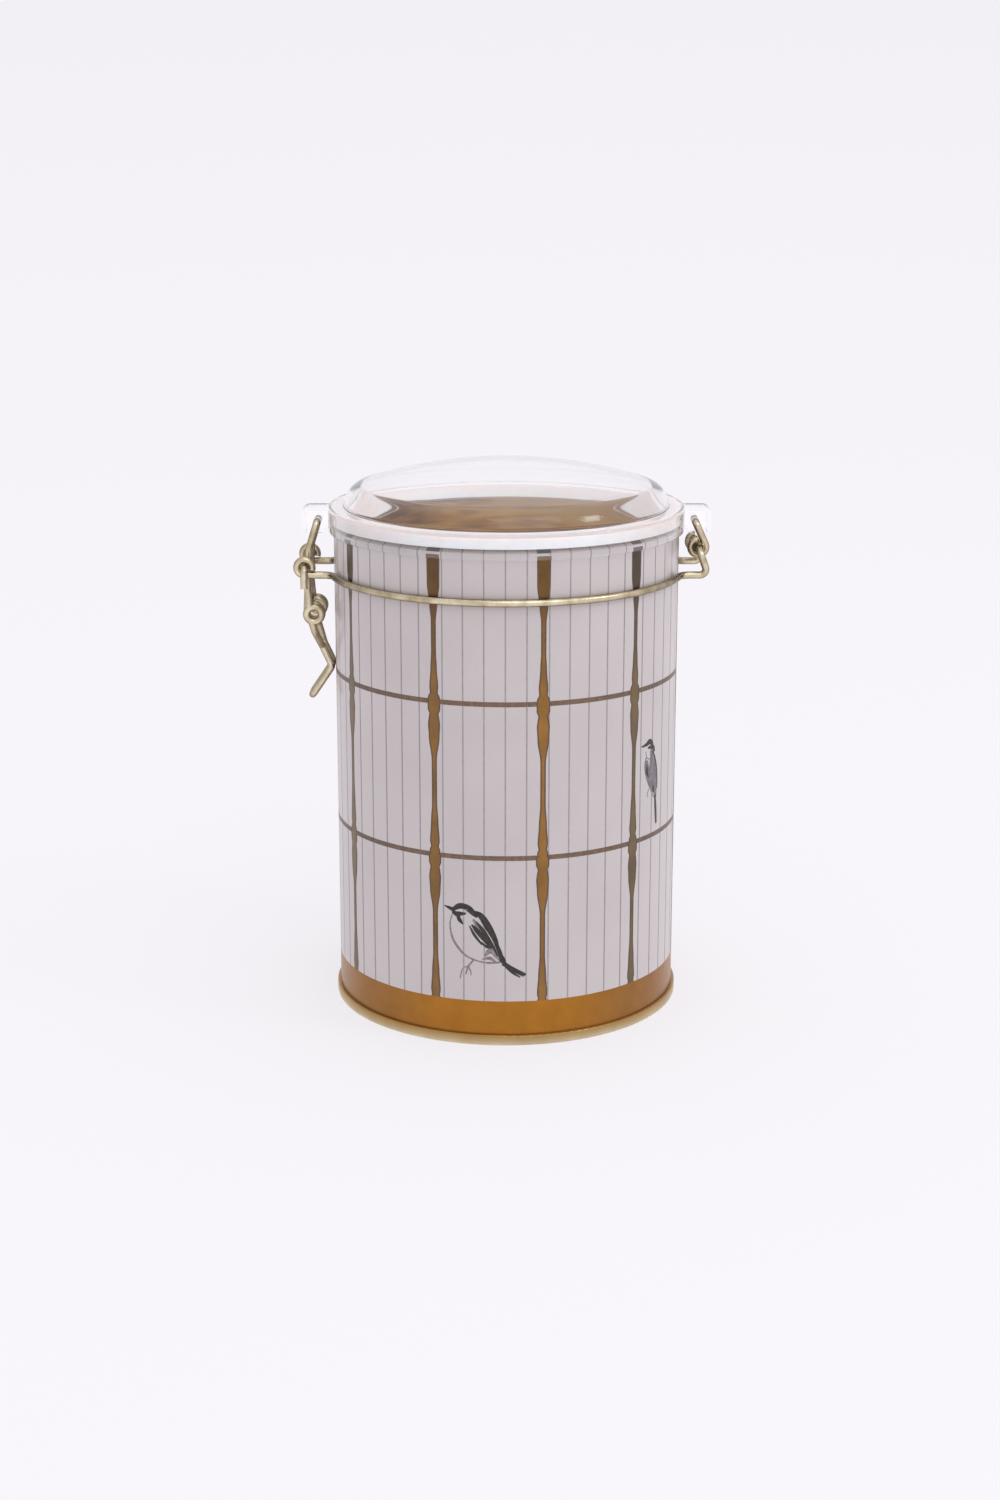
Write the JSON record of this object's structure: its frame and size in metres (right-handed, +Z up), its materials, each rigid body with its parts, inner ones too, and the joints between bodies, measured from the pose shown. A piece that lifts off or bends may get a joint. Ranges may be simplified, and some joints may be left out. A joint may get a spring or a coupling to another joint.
{
  "type": "clip-top storage tin",
  "caption": "Tall round tinplate storage tin with a clear domed, gasketed lid held by a hinged wire clip with an over-centre lever.",
  "frame": {"origin": "centre of the foot ring, on the surface the tin stands on", "axes": "+Z up the tin's axis; -X towards the latch lever and +X towards the hinge link; Y = 0 is the plane of symmetry"},
  "size_m": [0.1203, 0.1042, 0.16],
  "materials": {
    "printed_tinplate": "satin print",
    "lacquered_tinplate": "gold lacquer",
    "clear_plastic": "clear, polished",
    "white_silicone": "matt",
    "brass_wire": "plated, lightly tarnished"
  },
  "bodies": {
    "can": {"can_body": "printed_tinplate", "base_end": "lacquered_tinplate", "collar_wire": "brass_wire"},
    "hinge": {"hinge_link": "brass_wire"},
    "lid": {"lid": "clear_plastic", "lid_gasket": "white_silicone"},
    "bail": {"bail_link": "brass_wire"},
    "lever": {"latch_lever": "brass_wire"}
  },
  "joints": [
    {"name": "lid_swing", "type": "hinge", "parent": "hinge", "child": "lid", "pos_m": [0.0546, 0, 0.1426], "axis": [0, 1, 0], "range_deg": [0, 105]},
    {"name": "hinge_link_swing", "type": "hinge", "parent": "can", "child": "hinge", "pos_m": [0.0554, 0, 0.1355], "axis": [0, 1, 0], "range_deg": [0, 30]},
    {"name": "bail_swing", "type": "hinge", "parent": "lid", "child": "bail", "pos_m": [-0.0546, 0, 0.1426], "axis": [0, 1, 0], "range_deg": [0, 90]},
    {"name": "lever_throw", "type": "hinge", "parent": "can", "child": "lever", "pos_m": [-0.0579, 0, 0.13068], "axis": [0, 1, 0], "range_deg": [0, 160]}
  ],
  "couplings": [
    {"joint": "hinge_link_swing", "follows": "lid_swing", "ratio": 0.28571}
  ]
}
